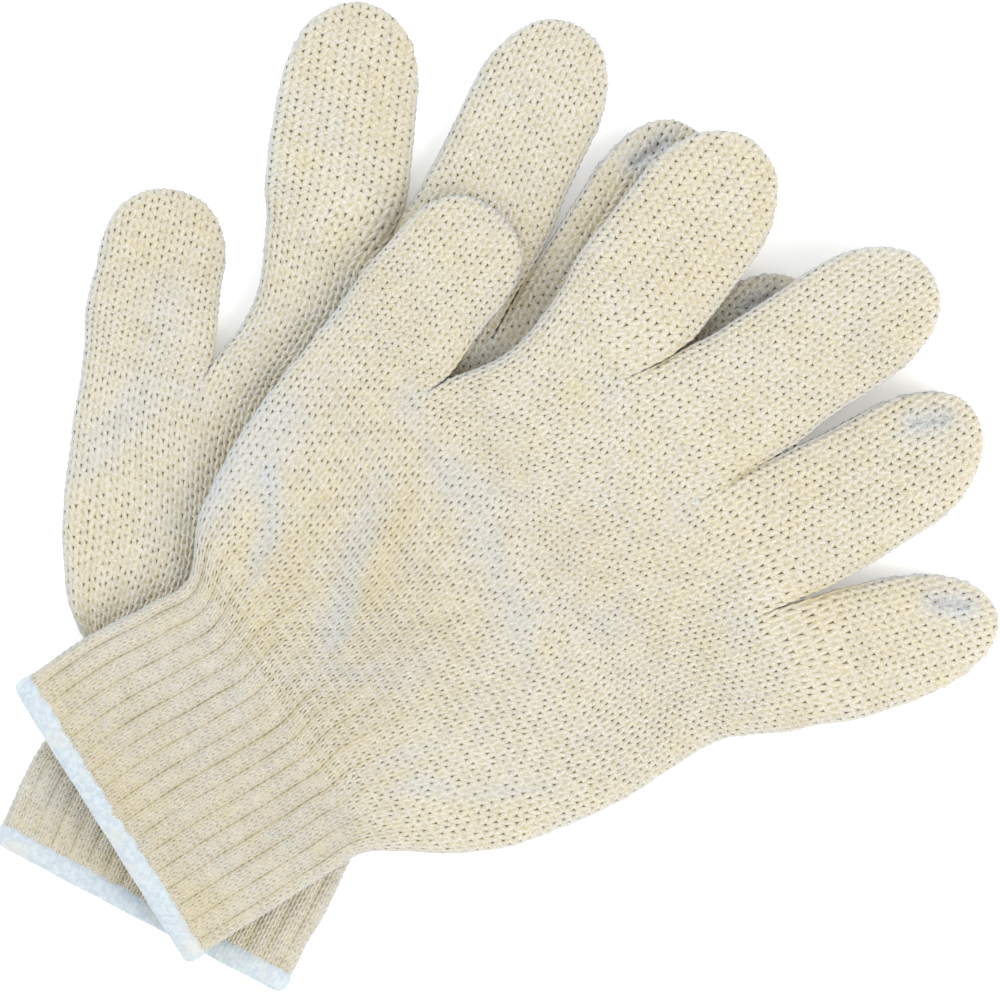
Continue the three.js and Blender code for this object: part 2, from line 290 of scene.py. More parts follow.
def bilinear(at, i, j, share_i, share_j):
    """Between the four values round a place, at(i, j) being the first of them."""
    low = mix(at(i, j), at(i + 1, j), share_i)
    high = mix(at(i, j + 1), at(i + 1, j + 1), share_i)
    return mix(low, high, share_j)


def off_segment(x, y, start, end):
    """The nearest point of a segment to each (x, y): its share of the way along, and how far off it is."""
    dx, dy = end - start
    share = np.clip(((x - start[0]) * dx + (y - start[1]) * dy) / (dx * dx + dy * dy or 1), 0, 1)
    return share, np.hypot(x - start[0] - share * dx, y - start[1] - share * dy)


def normalized(vectors):
    return vectors / np.maximum(np.linalg.norm(vectors, axis=-1, keepdims=True), 1e-9)


# ---- Flattened tubes ----

def edge_height(distance):
    """Share of the half thickness at a distance in from an outline."""
    t = np.clip(distance / EDGE_ROUND, 0, 1)
    return (1 - (1 - t) ** EDGE_POWER) ** 0.5


def half_height(share, width, rounds):
    """Half thickness at a share across a tube; a round of 0 leaves that side square."""
    left = mix(1, edge_height(share * width), rounds[0] * (1 - SEAM_SHARE))
    right = mix(1, edge_height((1 - share) * width), rounds[1] * (1 - SEAM_SHARE))
    return THICKNESS / 2 * left * right


def spread(wales, steps, width, rounds):
    """Shares across a tube for evenly spaced stitches, measured along its rounded face."""
    fine = (1 - np.cos(np.linspace(0, math.pi, SPREAD_POINTS))) / 2
    height = half_height(fine, width, rounds)
    length = np.concatenate([[0], np.cumsum(np.hypot(np.diff(fine * width), np.diff(height)))])
    return np.interp(np.linspace(0, length[-1], wales * steps + 1), length, fine)


def ring_row(left, right, wales, rounds=(1, 1), bulge=lambda share: share * 0, gather=0):
    """One closed row of points round a flattened tube, front first, between two outline points.
    gather keeps the middle stitches close together and spreads the outer ones instead."""
    left = np.array(left, float)
    right = np.array(right, float)
    width = np.linalg.norm(right - left)
    rows = []
    for steps, side in ((FRONT_STEPS, 1), (BACK_STEPS, -1)):
        off_middle = 2 * spread(wales, steps, width, rounds)[::side] - 1
        share = ((1 - gather) * off_middle + gather * off_middle ** 3 + 1) / 2
        flat = left + (right - left) * share[:, None] + np.outer(bulge(share), (0, 1))
        rows.append(np.column_stack([flat, MIDDLE_Z + side * half_height(share, width, rounds)]))
    return np.concatenate(rows)


def ring_wales(wales):
    """Wale number of each point of a ring row."""
    front = np.linspace(0, wales, wales * FRONT_STEPS + 1)
    back = np.linspace(wales, 2 * wales, wales * BACK_STEPS + 1)
    return np.concatenate([front, back])


def ring_part(wales, first, last):
    """Columns of a ring row that hold the wales from first to last, on the front and then on the back."""
    front = np.arange(first * FRONT_STEPS, last * FRONT_STEPS + 1)
    start = wales * FRONT_STEPS + 1
    back = np.arange((wales - last) * BACK_STEPS, (wales - first) * BACK_STEPS + 1)
    return np.concatenate([front, start + back])


def attach(points, root, distance):
    """Moves the first rows of a tube so that it starts on its root row and takes its own shape later."""
    fade = 1 - smooth(distance, 0, JOIN_FADE)
    return points + (root - points[0]) * fade[:, None, None]


def palm_row(outline, wales, low, top, grown, left_round=1):
    """A row of the palm, a share grown of the way from the straight row at low to the curved row top."""
    def wanted(share):
        return mix(low, through(top, share), grown)

    ends = wanted(0.0), wanted(1.0)
    left, right = outline_points(outline, *ends)
    widened = max((right[0] - left[0]) / CUFF_WIDTH, 1)
    gather = (1 - 1 / widened) * (1 - float(smooth(ends[0], *GATHER_FADE)))

    def bulge(share):
        return wanted(share) - mix(*ends, share)

    return ring_row(left, right, wales, (left_round, 1), bulge, gather)


def body_grid():
    """Cuff and five-finger palm."""
    cuff_rows = CUFF_COURSES * ROW_STEPS
    palm_rows = PALM_COURSES * ROW_STEPS
    rows = []
    for y in np.linspace(HEM_END_Y, WRIST_Y, cuff_rows + 1):
        rows.append(palm_row(BODY_OUTLINE, PALM_WALES, y, THUMB_ROW, 0))
    for r in range(1, palm_rows + 1):
        rows.append(palm_row(BODY_OUTLINE, PALM_WALES, WRIST_Y, THUMB_ROW, r / palm_rows))
    return np.array(rows)


def knuckle_grid(root):
    """Four-finger palm, from the thumb's root row to the fingers' root row."""
    count = KNUCKLE_COURSES * ROW_STEPS
    low = through(THUMB_ROW, 1.0)
    along = np.linspace(0, 1, count + 1) * (through(FINGER_ROW, 0.0) - low)
    rows = []
    for r, distance in enumerate(along):
        left_round = smooth(distance, 0, OPEN_FADE)
        rows.append(palm_row(KNUCKLE_OUTLINE, KNUCKLE_WALES, low, FINGER_ROW, r / count, left_round))
    return attach(np.array(rows), root, along)


def finger_axis(finger, along):
    """A point of a finger's axis and the turn of its courses there."""
    lean = math.radians(finger["lean"])
    forward = directions(lean)[1]
    return np.array(finger["root"]) + forward * along, float(lean * smooth(along, 0, TURN_LENGTH))


def finger_edges(finger, along):
    """The two outline points of a finger's row, before its tip rounds over."""
    centre, turn = finger_axis(finger, along)
    across = directions(turn)[0]
    return centre - across * through(finger["left"], along), centre + across * through(finger["right"], along)


def straight_row(finger, along):
    rounds = [smooth(along, 0, OPEN_FADE) if is_open else 1 for is_open in finger["open_sides"]]
    return ring_row(*finger_edges(finger, along), finger["wales"], rounds)


def tip_rows(finger, base, count):
    """The closed end of a tube: rows that shrink from its last straight row to the slit of its closure."""
    tip_length, tip_power = finger["tip"]
    left, right = finger_edges(finger, finger["length"] - tip_length)
    centre = (left + right) / 2
    half = np.linalg.norm(right - left) / 2
    across = (right - left) / (2 * half)
    forward = np.array([-across[1], across[0]])
    # The rounded end leans with the outlines, which may draw to one side.
    end_left, end_right = finger_edges(finger, finger["length"])
    drift = ((end_left + end_right) / 2 - centre) @ across
    place = ((base[:, :2] - centre) @ across) / half
    is_front = base[:, 2] >= MIDDLE_Z
    angle = np.where(is_front, 1, -1) * math.pi / 2 * (1 - place)
    rows = []
    for r in range(1, count + 1):
        t = r / count
        polar = math.pi / 2 * (1 - t)
        x = math.sin(polar) * np.cos(angle)
        y = np.full_like(x, math.cos(polar))
        z = math.sin(polar) * np.sin(angle)
        shift = -TIP_SHIFT * t
        y, z = y * math.cos(shift) - z * math.sin(shift), y * math.sin(shift) + z * math.cos(shift)
        y = np.maximum(y, 0)
        flat = np.maximum(np.hypot(x, y), 1e-9)
        inward = np.arccos(np.clip(np.abs(z), 0, 1)) / (math.pi / 2)
        rim = ((np.abs(x) / flat) ** tip_power + (y / flat) ** tip_power) ** (-1 / tip_power)
        over_y = tip_length * inward * y / flat * rim
        over_x = half * inward * x / flat * rim + drift * (over_y / tip_length) ** 2
        rise = 1
        for share in ((1 - inward) / 2, (1 + inward) / 2):
            rise = rise * half_height(share, 2 * half, (1, 0))
        height = rise / (THICKNESS / 2) * np.where(z >= 0, 1, -1)
        # Near its end the ring closes on a slit along the finger instead of on a point.
        late = smooth(t, CLOSURE_FROM, 1) ** 1.5
        over_x = mix(over_x, CLOSURE_WIDE * np.cos(angle), late)
        over_y = mix(over_y, over_y.mean() + CLOSURE_HALF * np.sin(angle), late)
        height = height + CLOSURE_SINK * smooth(t, CLOSURE_SINK_FROM, 1) ** 2
        flat_point = centre + np.outer(over_x, across) + np.outer(over_y, forward)
        rows.append(np.column_stack([flat_point, MIDDLE_Z + height]))
    return rows


def finger_grid(name, root):
    """A whole tube from its root row to its closure, and the row at which it can be split in two."""
    finger = FINGERS[name]
    course = COURSE_HEIGHT[name]
    tip_length = finger["tip"][0]
    straight = finger["length"] - tip_length
    along = np.linspace(0, straight, round(straight / course) * ROW_STEPS + 1)
    points = attach(np.array([straight_row(finger, place) for place in along]), root, along)
    tip_courses = round(TIP_OVER * tip_length / course)
    points = np.concatenate([points, tip_rows(finger, points[-1], tip_courses * ROW_STEPS)])
    return points, round(finger["length"] * BEND_AT / course) * ROW_STEPS


# ---- Drape and folds ----

def lower_outlines():
    """Outlines of the lower glove, seen from above."""
    parts = []
    for outline, low, high in ((BODY_OUTLINE, 0, THUMB_ROOT_Y), (KNUCKLE_OUTLINE, THUMB_ROOT_Y, KNUCKLE_Y)):
        parts.append([outline_points(outline, y, y) for y in np.linspace(low, high, OUTLINE_ROWS)])
    for finger in FINGERS.values():
        tip_length, tip_power = finger["tip"]
        rows = []
        for along in np.linspace(0, finger["length"], FINGER_OUTLINE_ROWS):
            left, right = finger_edges(finger, along)
            late = max(0, (along - finger["length"] + tip_length) / tip_length)
            taper = (1 - late ** tip_power) ** (1 / tip_power)
            centre = (left + right) / 2
            rows.append((mix(centre, left, taper), mix(centre, right, taper)))
        parts.append(rows)
    return [np.array([left for left, _ in rows] + [right for _, right in rows[::-1]]) for rows in parts]


def distance_to(outline, x, y):
    """How far points are from a closed outline, 0 inside it."""
    inside = np.zeros(x.shape, bool)
    nearest = np.full(x.shape, 1e9)
    for start, end in zip(outline, np.roll(outline, -1, 0)):
        nearest = np.minimum(nearest, off_segment(x, y, start, end)[1])
        if start[1] != end[1]:
            crossing = start[0] + (y - start[1]) * (end[0] - start[0]) / (end[1] - start[1])
            inside ^= ((start[1] > y) != (end[1] > y)) & (x < crossing)
    return np.where(inside, 0, nearest)


class Placement:
    """How a glove's flat frame lies in the row frame, on the table or draped over another glove."""

    def __init__(self, turn, origin, under=None):
        self.axes = np.array(directions(turn))
        self.origin = origin
        self.lift = self.lift_over(under) if under else None

    def lift_over(self, under):
        """Height of the underside over a grid of the glove's own frame."""
        places = np.meshgrid(np.arange(*DRAPE_X, DRAPE_STEP), np.arange(*DRAPE_Y, DRAPE_STEP), indexing="ij")
        x, y = np.moveaxis(np.stack(places, -1) @ self.axes + self.origin - under.origin, -1, 0)
        away = np.min([distance_to(outline, x, y) for outline in lower_outlines()], axis=0)
        down = smooth(away, DRAPE_MARGIN, DRAPE_MARGIN + DRAPE_LENGTH)
        return mix(CAD_THICKNESS + REST_GAP, TABLE_GAP, down)

    def lift_at(self, x, y):
        if self.lift is None:
            return np.zeros_like(x)
        i = np.clip((x - DRAPE_X[0]) / DRAPE_STEP, 0, self.lift.shape[0] - 2)
        j = np.clip((y - DRAPE_Y[0]) / DRAPE_STEP, 0, self.lift.shape[1] - 2)
        i0, j0 = i.astype(int), j.astype(int)
        return bilinear(lambda a, b: self.lift[a, b], i0, j0, i - i0, j - j0)

    def place(self, points):
        """Points of the flat frame, in metres of the row frame."""
        flat = points[..., :2] @ self.axes + self.origin
        height = points[..., 2] + self.lift_at(points[..., 0], points[..., 1])
        return np.concatenate([flat, height[..., None]], axis=-1) * MM

    def turn_normals(self, normals):
        return np.concatenate([normals[..., :2] @ self.axes, normals[..., 2:]], axis=-1)

    def point(self, x, y):
        return Vector(self.place(np.array([x, y, MIDDLE_Z], float)))


WRIST_LOCAL = (-0.3, 50.85)  # the wrist hinge in the glove's own frame
HEM_MIDDLE_X = 0.5
hem_low, hem_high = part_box("lower_overlock_hem")
LOWER = Placement(0, np.array([(hem_low.x + hem_high.x) / 2 / MM - HEM_MIDDLE_X, hem_low.y / MM]))
wrist = next(j for j in frame["joints"] if j["name"] == "upper_wrist")
upper_turn = math.atan2(-wrist["axis"][1], -wrist["axis"][0])
upper_origin = np.array(wrist["pos_m"][:2]) / MM - np.array(WRIST_LOCAL) @ np.array(directions(upper_turn))
UPPER = Placement(upper_turn, upper_origin, LOWER)


LATTICE_SIZE = 64  # cells before the noise repeats
LATTICE_START = 17


def lattice(x, y, size, seed):
    """Smooth seeded noise between -1 and 1, with features about size across."""
    values = np.random.default_rng(seed).uniform(-1, 1, (LATTICE_SIZE, LATTICE_SIZE))
    i, j = x / size + LATTICE_START, y / size + LATTICE_START
    i0, j0 = np.floor(i).astype(int), np.floor(j).astype(int)

    def at(a, b):
        return values[a % LATTICE_SIZE, b % LATTICE_SIZE]

    return bilinear(at, i0, j0, smooth(i - i0, 0, 1), smooth(j - j0, 0, 1))


def nearness(x, y, path, width):
    """1 on a smooth path through some points, falling to 0 about a width away and towards its ends."""
    fine = refined(path, 16)
    nearest = np.full(x.shape, 1e9)
    for i, (start, end) in enumerate(zip(fine, fine[1:])):
        share, reach = off_segment(x, y, start, end)
        share = (i + share) / (len(fine) - 1)
        ends = smooth(share, 0, 0.3) * (1 - smooth(share, 0.7, 1))
        nearest = np.minimum(nearest, reach + (1 - ends) * width)
    return np.exp(-((nearest / width) ** 2))


# ---- Knitted surface ----

def stitch_relief(wale, course):
    """Height of jersey over its ground, in shares of the stitch height: two plump slanting legs a stitch."""
    across = np.abs(2 * (wale % 1) - 1)
    phase = (course - LEG_LAG * across) % 1
    off_leg = across - (LEG_START + LEG_SLANT * phase)
    leg = np.exp(-((off_leg / LEG_WIDTH) ** 2))
    plump = np.sin(math.pi * phase ** 0.8) ** 0.7
    return leg * mix(LEG_LOW, 1, plump)


def rib_relief(wale, y):
    """Ribs with a groove between them, fading out into the palm."""
    across = np.cos(math.pi * (wale / RIB_WALES % 1 - 0.5))
    return (across - RIB_LEVEL) * (1 - smooth(y, *RIB_FADE))


def finger_pucker(finger):
    """The drawn-in closure on a tip's front: a short slit along the finger with stitches gathered to it."""
    lean = math.radians(finger["lean"])
    across, back = finger["pucker"]
    centre = finger["root"] + np.array([across, finger["length"] - back]) @ np.array(directions(lean))
    axes = np.array(directions(lean - PUCKER_TURN))

    def pucker(x, y):
        over, along = (axes[k, 0] * (x - centre[0]) + axes[k, 1] * (y - centre[1]) for k in (0, 1))
        past = along - np.clip(along, -PUCKER_HALF, PUCKER_HALF)
        reach = np.hypot(over, past)
        slit = -PUCKER_DEPTH * np.exp(-((reach / PUCKER_WIDE) ** 2))
        gathers = np.cos(along * GATHER_TURNS + np.arctan2(over, past + 1e-6) * 3)
        gathers = GATHER_HEIGHT * gathers * np.exp(-(((reach - GATHER_REACH) / GATHER_REACH) ** 2))
        # The second value is the strength of a painted cool-blue shade round the slit.
        return slit + gathers, np.exp(-((reach / PUCKER_SHADE_REACH) ** 2))

    return pucker


def link(made):
    bpy.context.scene.collection.objects.link(made)
    return made


def grid_normals(points):
    """Outward normals of a grid whose columns go round a tube and whose rows go along it."""
    round_it = np.roll(points, -1, 1) - np.roll(points, 1, 1)
    return normalized(np.cross(round_it, np.gradient(points, axis=0)))


class Knit:
    """A knitted surface of one glove: base points, wales, courses, relief, and the surfaces it joins."""

    def __init__(self, points, wales, first_course):
        self.base = points
        self.wale = ring_wales(wales)
        self.course = first_course + np.arange(len(points)) / ROW_STEPS
        self.parent = None
        self.children = []

    def join(self, child, columns):
        """child starts on these columns of this surface's last row."""
        child.parent = (self, columns)
        self.children.append((child, columns))

    def normals(self, field):
        """Normals of a field, worked out with a row of each neighbour so that no join shows."""
        rows = getattr(self, field)
        before = []
        after = []
        if self.parent:
            other, columns = self.parent
            before = [getattr(other, field)[-2][columns]]
        if self.children:
            row = rows[-1].copy()
            for child, columns in self.children:
                row[columns] = getattr(child, field)[1]
            after = [row]
        start = len(before)
        return grid_normals(np.stack([*before, *rows, *after]))[start:start + len(rows)]

    def add_relief(self, folds, seed, ribbed=False, pucker=None, open_sides=(False, False)):
        wales, courses = np.meshgrid(self.wale, self.course)
        x, y = self.base[..., 0], self.base[..., 1]
        is_front = self.base[..., 2] > MIDDLE_Z
        plump = mix(RIB_STITCHES, 1, smooth(y, *RIB_FADE)) if ribbed else 1
        loose, loose_size = LOOSENESS
        plump = plump * (1 + loose * lattice(x, y, loose_size, seed))
        relief = STITCH_HEIGHT * plump * stitch_relief(wales, courses)
        for i, (height, size) in enumerate(WAVES):
            relief += height * lattice(x, y, size, seed + 1 + i) * np.where(is_front, 1, BACK_WAVES)
        self.normal = self.normals("base")
        on_left = np.cos(2 * math.pi * wales / self.wale[-1]) > 0
        # Painted light: a cool-blue shade and sheen where the surface turns steeply down at the outlines, and
        # a yellow shade instead on the sides inside the crotches.
        in_crotch = (1 - smooth(courses - self.course[0], *CROTCH_COURSES)) * np.where(on_left, *open_sides)
        rim = 1 - smooth(np.abs(self.normal[..., 2]), 0.35, 0.95)
        self.tint = mix(RIM_PAINTED_SHADE, -CROTCH_PAINTED_SHADE, in_crotch) * rim
        # Each fold raises or sinks the fabric and paints light along it: cool blue above 0, warm yellow below
        # 0.
        for path, width, height, tint in folds:
            near = nearness(x, y, path, width) * is_front
            relief += height * near
            self.tint += tint * near
        if ribbed:
            rib = (wales / RIB_WALES + 0.5) // 1
            uneven = RIB_MEAN + RIB_UNEVEN * lattice(rib * RIB_APART, y, RIB_UNEVEN_SIZE, seed + 3)
            grown = mix(MOUTH_RIBS, 1, smooth(y, *MOUTH_RIB_FADE))
            relief += RIB_HEIGHT * uneven * rib_relief(wales, y) * grown
            # The grooves between ribs get a painted yellow shade; by the hem the yarn itself yellows.
            line = np.exp(-((((wales / RIB_WALES + 0.5) % 1 - 0.5) * RIB_WALES / RIB_LINE) ** 2))
            self.tint -= RIB_GROOVE_SHADE * line * uneven * (1 - smooth(y, *RIB_FADE)) * is_front
            patchy = 0.7 + 0.5 * lattice(x, y, 9, seed + 4)
            self.tint -= MOUTH_YELLOW * (1 - smooth(y, *MOUTH_FADE)) * patchy
        if pucker:
            dip, tint = pucker(x, y)
            relief += dip * is_front
            # Round the closure the fabric also gets a painted cool-blue shade.
            self.tint += PUCKER_PAINTED_SHADE * tint * is_front
        self.outer = self.base + self.normal * relief[..., None]
        self.outer[..., 2] = np.maximum(self.outer[..., 2], UNDERSIDE)
        self.inner = self.base - self.normal * WALL


def corners_of(here, next_column, next_row, next_both):
    """Values of the four corners of every face of a grid, in the order in which grid_mesh joins them."""
    return np.stack([here, next_column, next_both, next_row], -1)


def flat32(values):
    return np.asarray(values).reshape(-1).astype(np.float32)


def grid_mesh(name, points, wale, course, rims=(), tint=0.0, normals=None):
    """A closed mesh from a grid that wraps both ways. The rims are its rows of flat-shaded faces."""
    rows, columns = points.shape[:2]
    r, c = np.meshgrid(np.arange(rows), np.arange(columns), indexing="ij")
    r1, c1 = (r + 1) % rows, (c + 1) % columns
    quads = corners_of(r * columns + c, r * columns + c1, r1 * columns + c, r1 * columns + c1).reshape(-1)
    mesh = bpy.data.meshes.new(name)
    mesh.vertices.add(rows * columns)
    mesh.vertices.foreach_set("co", flat32(points))
    mesh.loops.add(len(quads))
    mesh.loops.foreach_set("vertex_index", quads.astype(np.int32))
    mesh.polygons.add(rows * columns)
    mesh.polygons.foreach_set("loop_start", np.arange(0, len(quads), 4, dtype=np.int32))
    is_smooth = np.ones((rows, columns), bool)
    is_smooth[list(rims)] = False
    mesh.polygons.foreach_set("use_smooth", is_smooth.reshape(-1))
    # Corner values: the column past the last one goes on counting instead of jumping back.
    wale_next = np.append(wale[1:], wale[-1] + (wale[1] - wale[0]))[c]
    course_next = np.append(course[1:], course[0])[r]
    tint = np.broadcast_to(tint, (rows, columns))
    # The knit attribute holds the wale, the course and the painted light: cool-blue shade above 0, warm
    # yellow light and shade below 0, with the yarn's own yellowing by the hem.
    knit = np.stack([
        corners_of(wale[c], wale_next, wale[c], wale_next),
        corners_of(course[r], course[r], course_next, course_next),
        corners_of(tint, tint, tint, tint),
    ], -1)
    mesh.attributes.new("knit", "FLOAT_VECTOR", "CORNER").data.foreach_set("vector", flat32(knit))
    mesh.attributes.new("rest", "FLOAT_VECTOR", "POINT").data.foreach_set("vector", flat32(points))
    across, along = c / columns, r / rows
    across_next, along_next = (c + 1) / columns, (r + 1) / rows
    layout = np.stack([
        corners_of(across, across_next, across, across_next),
        corners_of(along, along, along_next, along_next),
    ], -1)
    mesh.uv_layers.new(name="OFBake").data.foreach_set("uv", flat32(layout))
    mesh.update()
    if normals is not None:
        mesh.normals_split_custom_set_from_vertices(flat32(normals).reshape(-1, 3))
    return link(bpy.data.objects.new(name, mesh))


def knit_piece(name, knit, first, last, placement):
    """The rows of a knitted surface from first to last as a closed shell."""
    picks = np.unique(np.append(np.arange(last, first, -INNER_ROWS), first))[::-1]

    def shell(outer, inner):
        return np.concatenate([outer[first:last + 1], inner[picks]])

    points = placement.place(shell(knit.outer, knit.inner))
    course = np.concatenate([knit.course[first:last + 1], knit.course[picks]])
    tint = shell(knit.tint, knit.tint)
    normals = placement.turn_normals(shell(knit.shade, -knit.normal))
    # The two rims are flat, so that they don't bend the shading of the surface beside them.
    return grid_mesh(name, points, knit.wale, course, (last - first, -1), tint, normals)


def torus_mesh(name, loop, normal, half_along, half_out, sides, placement, wale, relief=None):
    """A closed ring of yarn along a row of the cuff. relief(turn, place) is how much it is thickened."""
    turn = np.linspace(0, 2 * math.pi, sides, endpoint=False)
    place = np.concatenate([[0], np.cumsum(np.linalg.norm(np.diff(loop, axis=0), axis=1))])
    grown = 1 + relief(turn[:, None], place[None, :]) if relief else 1
    out = (np.sin(turn)[:, None] * half_out * grown)[..., None] * normal
    along = (np.cos(turn)[:, None] * half_along * grown)[..., None] * np.array([0, 1, 0])
    points = placement.place(loop + out + along)
    return grid_mesh(name, points[::-1], wale, turn / (2 * math.pi))


YARN_STEPS = 26  # along a short strand
YARN_SIDES = 8
YARN_TAPER = 3  # steps over which its ends round off
YARN_END = 0.12
YARN_PLY = 0.16
YARN_TWIST = 3.0  # radians a step
YARN_SIDEWAYS = (0.13, 0.21, 0.97)  # a direction that no strand follows


def yarn_mesh(name, strands, radius, placement):
    """Short closed strands of two-ply yarn, as one mesh."""
    step = np.arange(YARN_STEPS)[:, None]
    turn = 2 * math.pi * np.arange(YARN_SIDES) / YARN_SIDES
    end = np.minimum(np.minimum(step, YARN_STEPS - 1 - step) / YARN_TAPER, 1)
    size = radius * np.minimum(1, np.sqrt(1 - (1 - end) ** 2) + YARN_END)
    size = size * (1 + YARN_PLY * np.cos(2 * turn + YARN_TWIST * step))
    vertices = []
    faces = []
    for strand in strands:
        fine = refined(strand, YARN_STEPS)
        forward = normalized(np.gradient(fine, axis=0))
        side = normalized(np.cross(forward, YARN_SIDEWAYS))
        up = np.cross(side, forward)
        start = len(vertices)
        for i in range(YARN_STEPS):
            ring = np.outer(np.cos(turn), side[i]) + np.outer(np.sin(turn), up[i])
            vertices.extend(fine[i] + size[i][:, None] * ring)
        for i in range(YARN_STEPS - 1):
            a = start + i * YARN_SIDES
            b = a + YARN_SIDES
            for k, k1 in zip(range(YARN_SIDES), np.roll(range(YARN_SIDES), -1)):
                faces.append((a + k, a + k1, b + k1, b + k))
        faces.append(tuple(range(start, start + YARN_SIDES))[::-1])
        faces.append(tuple(range(len(vertices) - YARN_SIDES, len(vertices))))
    mesh = bpy.data.meshes.new(name)
    mesh.from_pydata([tuple(p) for p in placement.place(np.array(vertices))], [], faces)
    mesh.polygons.foreach_set("use_smooth", np.ones(len(faces), bool))
    mesh.update()
    return link(bpy.data.objects.new(name, mesh))


# ---- Materials ----

class Nodes:
    """Short words for building a material's nodes."""

    def __init__(self, name):
        self.material = bpy.data.materials.new(name)
        self.material.use_nodes = True
        self.tree = self.material.node_tree
        self.shader = self.tree.nodes["Principled BSDF"]

    def add(self, kind, inputs=(), **settings):
        """A node with the values or links of its inputs, by name or place, and its settings."""
        node = self.tree.nodes.new(kind)
        for key, value in settings.items():
            setattr(node, key, value)
        for key, value in dict(inputs).items():
            self.put(node.inputs[key], value)
        return node

    def put(self, socket, value):
        if isinstance(value, bpy.types.NodeSocket):
            self.tree.links.new(value, socket)
        else:
            socket.default_value = value

    def plain(self, **values):
        """Constant numbers, set on the shader's own sockets."""
        for key, value in values.items():
            self.shader.inputs[key.replace("_", " ")].default_value = value

    def cover(self, base, rough, normal, **values):
        """Gives the shader its colour, roughness, normal and constant numbers."""
        for name, value in (("Base Color", base), ("Roughness", rough), ("Normal", normal)):
            self.put(self.shader.inputs[name], value)
        self.plain(Sheen_Roughness=0.45, Specular_IOR_Level=0.15, **values)
        return self.material

    def math(self, operation, *inputs, clamp=False):
        return self.add("ShaderNodeMath", enumerate(inputs), operation=operation, use_clamp=clamp).outputs[0]

    def apart(self, a, b):
        return self.math("ABSOLUTE", self.math("SUBTRACT", a, b))

    def attribute(self, name):
        return self.add("ShaderNodeAttribute", attribute_name=name).outputs["Vector"]

    def noise(self, vector, scale, detail=2.0, rough=0.5, distortion=0.0):
        values = {"Scale": scale, "Detail": detail, "Roughness": rough, "Distortion": distortion}
        return self.add("ShaderNodeTexNoise", {"Vector": vector, **values}).outputs["Fac"]

    def span(self, value, low, high, to_low=0.0, to_high=1.0):
        inputs = enumerate((value, low, high, to_low, to_high))
        return self.add("ShaderNodeMapRange", inputs, interpolation_type="SMOOTHSTEP").outputs[0]

    def blend(self, share, a, b):
        node = self.add("ShaderNodeMix", {"Factor": share}, data_type="RGBA")
        colours = [s for s in node.inputs if s.type == "RGBA"]
        for socket, value in zip(colours, (a, b)):
            self.put(socket, value)
        return next(s for s in node.outputs if s.type == "RGBA")

    def turn(self, base, towards, share, factor, clamp=False):
        """base turned towards another colour, by a share of a factor."""
        return self.blend(self.math("MULTIPLY", share, factor, clamp=clamp), base, towards)

    def bump(self, height, strength, distance, under=None):
        inputs = {"Height": height, "Strength": strength, "Distance": distance}
        if under is not None:
            inputs["Normal"] = under
        return self.add("ShaderNodeBump", inputs).outputs[0]


def colour(red, green, blue):
    """A colour given as 0 to 255 in sRGB, made linear."""
    def linear(v):
        v /= 255
        return v / 12.92 if v <= 0.04045 else ((v + 0.055) / 1.055) ** 2.4
    return (linear(red), linear(green), linear(blue), 1.0)


CREAM = colour(211, 202, 185)
PALE = colour(212, 206, 193)
BLUISH = colour(201, 204, 201)
YELLOW = colour(212, 197, 146)
# Warm yellow painted light and shade, which also carries the yarn's own yellowing by the hem.
WARM_PAINTED_LIGHT_AND_YELLOWING = colour(206, 188, 128)
PINKISH = colour(214, 200, 187)
WHITE_FIBRE = colour(235, 230, 218)
DARK_FIBRE = colour(184, 170, 134)
# Painted shade in the holes between stitches.
PIT_SHADE = colour(84, 67, 36)
# Painted shade on the edges of each leg of a stitch.
LEG_EDGE_SHADE = colour(186, 170, 124)
# Painted shade in the grooves between ribs.
GROOVE_SHADE = colour(156, 149, 112)
# Painted cool-blue shade and sheen at outlines, on folds, by joins and round closures.
COOL_PAINTED_LIGHT = colour(192, 199, 210)
SHEEN_TINT = colour(205, 220, 248)

# Noises, as (features in a metre, detail, roughness, distortion).
THICK_AND_THIN = (420.0, 2.0)
BROAD_PATCHES = (26.0, 3.0)
PATCHES = (75.0, 3.0, 0.65, 0.4)
FLECKS = (900.0, 3.0, 0.6)
STRANDS = (1500.0, 2.0, 0.6)
FIBRES = (2600.0, 3.0, 0.65)
GROOVE_SHADE_SPOTS = (110.0, 2.0)

# How strongly the flecks, strands, painted shade at the edges of the legs and painted shade in the holes
# between them show.
PLAIN_YARN = dict(flecks=0.4, strands=0.45, legs=0.45, gap_shade=0.95)
RIB_YARN = dict(flecks=0.3, strands=0.26, legs=0.12, gap_shade=0.3)
PLY_TURNS = 9.42  # radians of twist of the two plies in one leg


